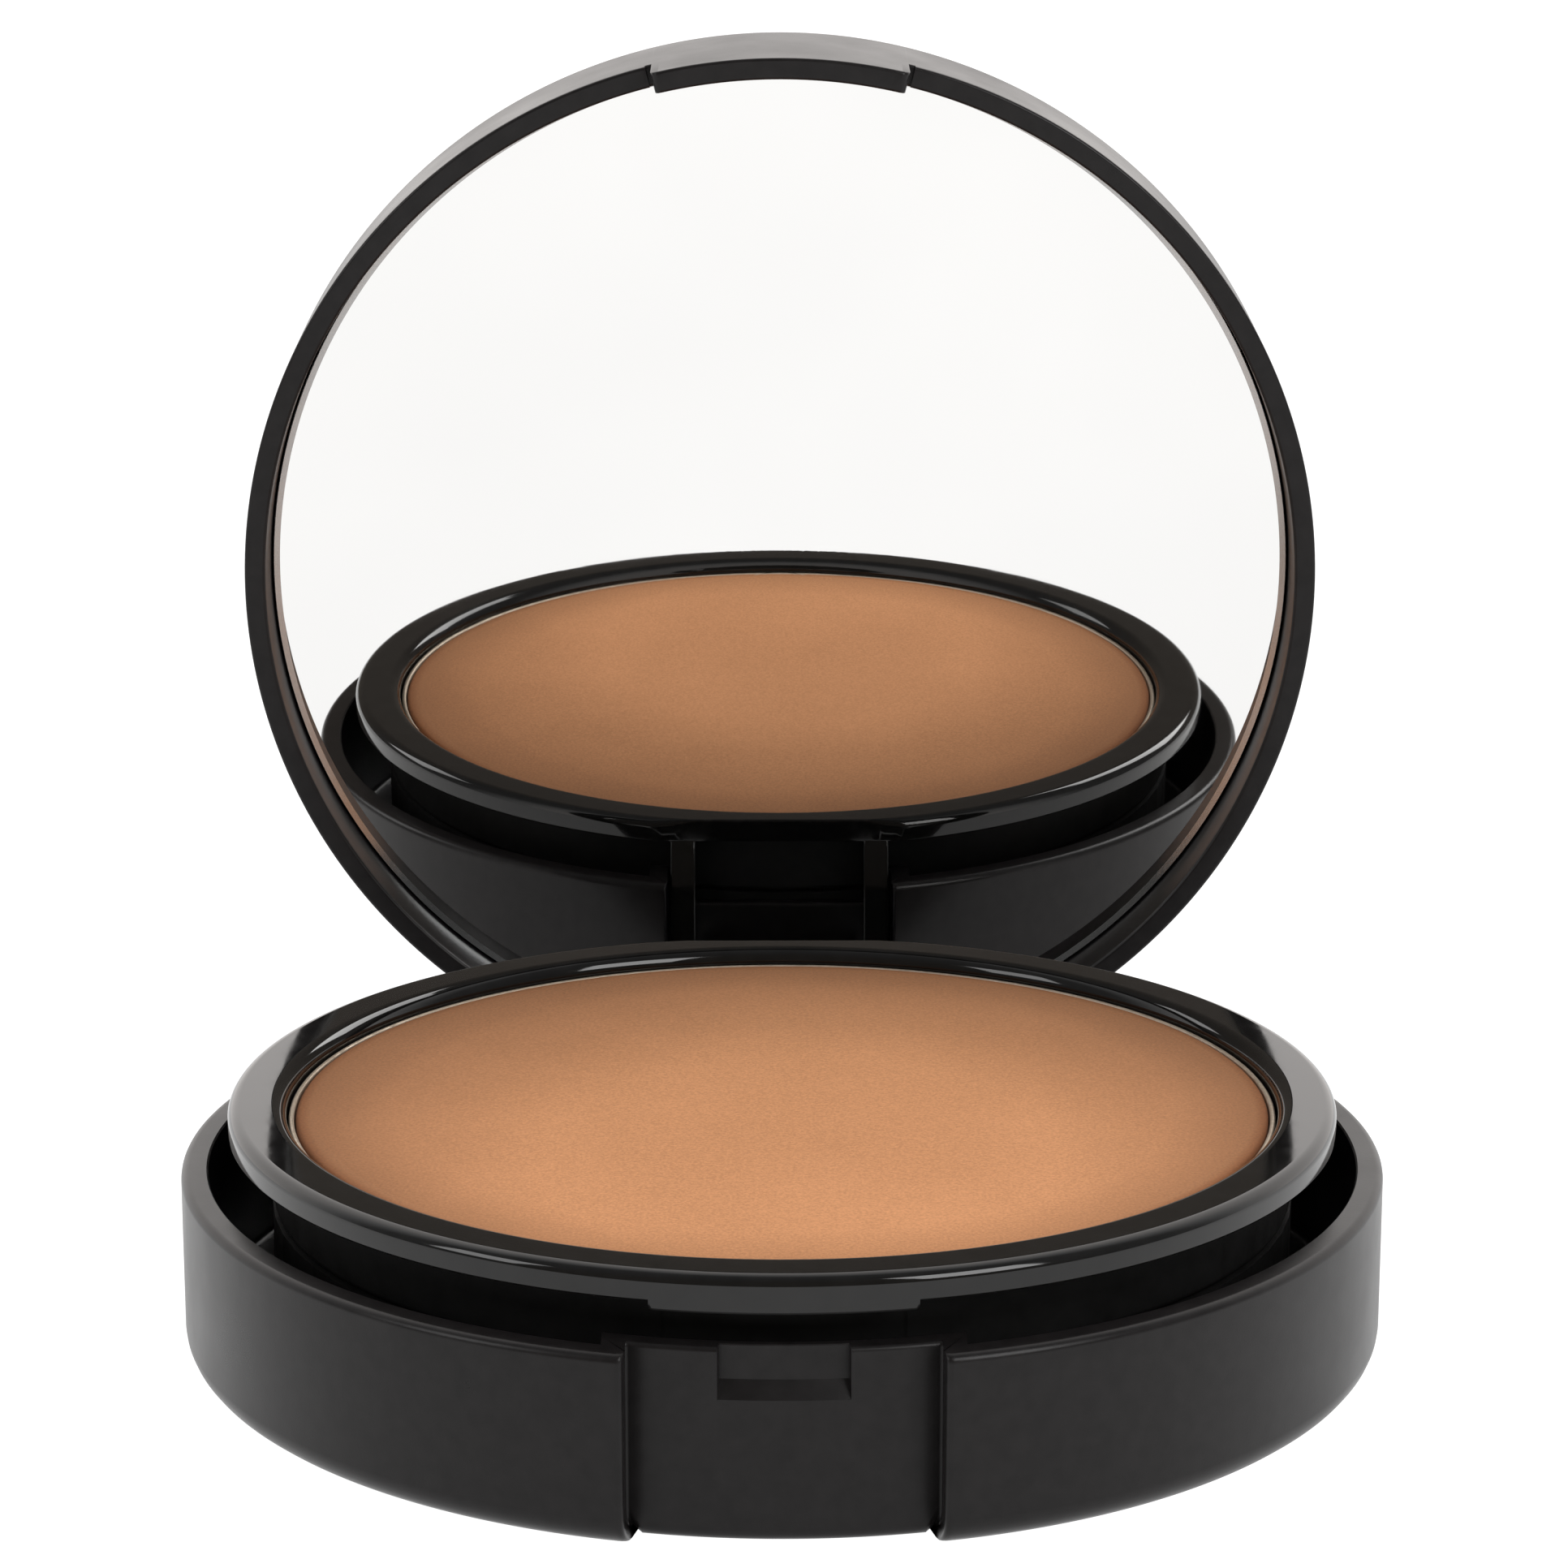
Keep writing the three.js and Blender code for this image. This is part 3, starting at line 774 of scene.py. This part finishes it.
def solid_of_columns(name, columns, look, body, turn=None, bevel=0.15):
    """A closed block from cross-sections that run from one end to the other, with softened edges."""
    bm, grid = loft(columns, closed_profile=True)
    bm.faces.new(grid[0])
    bm.faces.new(grid[-1][::-1])
    made = finish_mesh(name, bm, look, body, turn)
    soft = made.modifiers.new("soft_edges", "BEVEL")
    soft.width = bevel * MM
    soft.segments = 3
    soft.limit_method = "ANGLE"
    soft.angle_limit = math.radians(40)
    soft.harden_normals = False
    made.modifiers.move(1, 0)  # the bevel comes before the even normals
    return made


def tray_ear(side, look):
    """A plate from the flange down to the hinge pin."""
    name = "tray_ear_right" if side > 0 else "tray_ear_left"
    outline = [
        (EAR_FRONT, FLANGE_LOW + 0.5), (EAR_FRONT, FLANGE_LOW - 1.6), (EAR_STEM, FLANGE_LOW - 3.2),
        *arc(HINGE_AT.y, HINGE_AT.z, EAR_EYE, EAR_EYE, 180, 360, 16),
        EAR_BACK, (TRAY_BACK, FLANGE_LOW), (TRAY_BACK - 0.2, FLANGE_LOW + 0.5)]
    columns = [[(side * x, y, z) for y, z in outline] for x in (EAR_IN, EAR_OUT)]
    return solid_of_columns(name, columns, look, "base", bevel=0.12)


# Pan, powder, sponge, label and pin

def pan(look):
    """The rim is turned out a little towards the tray's wall."""
    low, high, r = PAN_LOW.z, PAN_HIGH.z, PAN_HIGH.x
    thick, flare, bead = 0.4, 0.15, 0.17
    profile = [
        (1.0, low), *arc(r - 0.5, low + 0.5, 0.5, 0.5, -90, 0, 4),
        (r, high - 0.8), (r + flare, high - 0.5),
        *arc(r + flare - bead, high - bead, bead, bead, 0, 180, 8),
        (r + flare - bead * 2, high - 0.8),
        (r - thick, high - 1.6), (r - thick, low + thick), (1.0, low + thick)]
    made = turned("pan_sheet_metal", profile, look, "base")
    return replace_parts(made, "powder_pan")


def powder(look):
    """The cake: a low crown, a soft pressed edge and a faint line where the press ring met it."""
    low, high, r = POWDER_LOW.z, POWDER_HIGH.z, POWDER_HIGH.x
    edge, sink, fit = 0.3, 0.05, 0.17
    top = [(r, low), (r, high - 1.5), (r + fit, high - 1), (r + fit, high - edge - sink)]
    top += arc(r + fit - edge, high - edge - sink, edge, edge, 0, 90, 6)[1:]
    ring = r - 1.1
    for step in (0.28, 0.16, 0.05, -0.05, -0.16, -0.28):
        dip = 0.02 * math.exp(-((step / 0.12) ** 2))
        top.append((ring + step, high - sink - dip))
    for i in range(1, 40):
        radius = (ring - 0.4) * (1 - i / 40)
        top.append((radius, high - sink * (radius / r) ** 6))
    profile = [(0.4, low)] + top
    made = turned("powder_cake", profile, look, "base", sharp=60)
    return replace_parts(made, "pressed_powder")


def label(look):
    top, r = LABEL_HIGH.z, LABEL_HIGH.x
    profile = [(0.5, 0), *arc(r - 0.06, 0.06, 0.06, 0.06, -90, 0, 3), (r, top), (0.5, top)]
    made = turned("blank_label", profile, look, "base", steps=192)
    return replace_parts(made, "shade_label")


# Lid

def lid_turn():
    """From where the lid lies closed to where it stands open."""
    to_hinge = Matrix.Translation(-HINGE_AT * MM)
    return to_hinge.inverted() @ Matrix.Rotation(-math.radians(OPEN_ANGLE), 4, "X") @ to_hinge


def tab_edge(x):
    """Height of the tab's end at a distance x from its middle, with a rounded corner."""
    over = max(0, x - (CATCH_HALF - CATCH_CORNER))
    return LID_LOW - CATCH_LENGTH + CATCH_CORNER - math.sqrt(CATCH_CORNER**2 - over**2)


def lid_columns():
    tab = front_angle(CASE_R, CATCH_HALF)
    arm = front_angle(CASE_R, ARM_HALF)
    gap = math.degrees(CATCH_GAP / CASE_R)
    rounding = 0.85
    angles = [(tab - rounding) * i / 14 for i in range(15)]
    angles += [tab - rounding + rounding * i / 7 for i in range(1, 8)]
    rims = [(a, tab_edge(CASE_R * math.sin(math.radians(a)) - 1e-6)) for a in angles]
    rims += [(tab + TINY_TURN, LID_LOW + CATCH_GAP), (tab + gap, LID_LOW + CATCH_GAP)]
    rims += [(tab + gap + TINY_TURN, LID_LOW)]
    steps = round((180 - arm - tab) / FINE_STEP)
    first, last = tab + gap + 0.5, 180 - arm - TINY_TURN
    rims += [(first + (last - first) * i / steps, LID_LOW) for i in range(steps + 1)]
    rims += [(180 - arm + arm * i / 12, ARM_LOW) for i in range(13)]
    half = []
    for degrees, rim in rims:
        edge = LID_EDGE
        profile = [
            (1.0, CEILING), (LID_IN - 0.3, CEILING), (LID_IN, CEILING - 0.3),
            (LID_IN, LID_LOW + 2.0),
            (LID_IN, LID_LOW + 0.6) if rim >= LID_LOW else (LID_IN, LID_LOW),
            *arc(LID_IN + edge, rim + edge, edge, edge, 180, 270, 4),
            *arc(CASE_R - edge, rim + edge, edge, edge, -90, 0, 4),
            (CASE_R, LID_LOW + 0.6) if rim >= LID_LOW else (CASE_R, LID_LOW),
            *arc(CASE_R - LID_ROUND, LID_HIGH - LID_ROUND, LID_ROUND, LID_ROUND, 0, 90, 10),
            (CASE_R - 5, LID_HIGH), (1.0, LID_HIGH)]
        half.append([(*front_point(r, degrees), z) for r, z in profile])
    return mirrored(half)


def lid(look):
    bm, _ = loft(lid_columns(), looped=True)
    made = finish_mesh("lid_case", bm, look, "lid", lid_turn())
    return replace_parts(made, "lid_shell")


def knuckle(look):
    """The barrel at the end of the lid's arm that turns on the pin."""
    end, straight = KNUCKLE_R - KNUCKLE_CHAMFER, ARM_HALF - KNUCKLE_CHAMFER
    last = 360 - 360 / KNUCKLE_STEPS
    columns = []
    for x, r in ((-ARM_HALF, end), (-straight, KNUCKLE_R), (straight, KNUCKLE_R), (ARM_HALF, end)):
        outline = arc(HINGE_AT.y, HINGE_AT.z, r, r, 0, last, KNUCKLE_STEPS - 1)
        columns.append([(x, y, z) for y, z in outline])
    return solid_of_columns("lid_knuckle", columns, look, "lid", lid_turn(), 0.08)


def mirror(look, edge_look):
    face = LID_LOW + MIRROR_RECESS
    back = face + MIRROR_THICK
    strip = MIRROR_R - MIRROR_EDGE
    profile = [
        (1.0, face), (strip, face), (strip + 0.02, face - 0.004), (MIRROR_R - 0.06, face - 0.085),
        (MIRROR_R, face - 0.03), (MIRROR_R, back - 0.1), (MIRROR_R - 0.1, back), (1.0, back)]
    bm, _ = loft(lathe(profile), looped=True)
    for side in bm.faces:
        if math.hypot(*side.calc_center_median().xy) > strip * MM:
            side.material_index = 1
    made = finish_mesh("mirror_plate", bm, look, "lid", lid_turn(), sharp=5)
    made.data.materials.append(edge_look)
    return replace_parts(made, "mirror_glass")


def padded_sponge(look):
    """A round latex pad: crowned faces, a rounded side and softly dished centre."""
    low, high, r = SPONGE_LOW.z, SPONGE_HIGH.z, SPONGE_HIGH.x
    tall, middle = (high - low) / 2, (high + low) / 2
    side = [(r - tall * (1 - math.cos(math.radians(a))) * 0.8, middle + tall * math.sin(math.radians(a)))
            for a in range(-80, 81, 8)]
    crown = [(r * (0.92 - 0.9 * i / 16), high - 0.25 * (i / 16) ** 2) for i in range(17)]
    foot = [(x, low + high - z) for x, z in reversed(crown)]
    made = turned("sponge_pad", foot + side + crown, look, "base", steps=144, sharp=70)
    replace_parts(made, "applicator_sponge")
    return made


def dress(node, look):
    """A CAD node that keeps its shape gets its own material."""
    data = frame["nodes"][node].data
    data.materials.clear()
    data.materials.append(look)


def floor(look):
    bm = bmesh.new()
    size = 6.0
    corners = [(-size, -size), (size, -size), (size, size), (-size, size)]
    bm.faces.new([bm.verts.new((x, y, -0.00002)) for x, y in corners])
    data = bpy.data.meshes.new("floor")
    bm.to_mesh(data)
    bm.free()
    data.materials.append(look)
    made = bpy.data.objects.new("floor", data)
    bpy.context.scene.collection.objects.link(made)


set_camera()
set_world()
floor(table_top())
top_light = area_light("top_light", (0.03, -0.06, 0.5), (0, -0.02, 0), (0.6, 0.6), 0.96)
top_light.visible_glossy = False
area_light("key_light", (0.32, -0.38, 0.35), (0, 0, 0.02), (0.25, 0.3), 1.7)
area_light("fill_light", (-0.48, -0.24, 0.3), (0, 0, 0.02), (0.2, 0.25), 0.7)
bpy.context.scene.view_settings.view_transform = "Standard"

case_look = satin_case()
gloss_look = gloss_insert()
dull_look = dull_insert()
glue_look = soft_adhesive()

base_shell(case_look)
powder_tray(gloss_look, dull_look)
tray_ear(1, gloss_look)
tray_ear(-1, gloss_look)
pan(pan_metal())
powder(powder_cake())
label(label_paper())
padded_sponge(latex_foam())
lid(case_look)
knuckle(case_look)
mirror(mirror_silver(), ground_glass_edge())
dress("sponge_well", dull_look)
dress("mirror_carrier", gloss_look)
dress("pan_adhesive", glue_look)
dress("mirror_tape", glue_look)
dress("hinge_pin", drawn_steel())
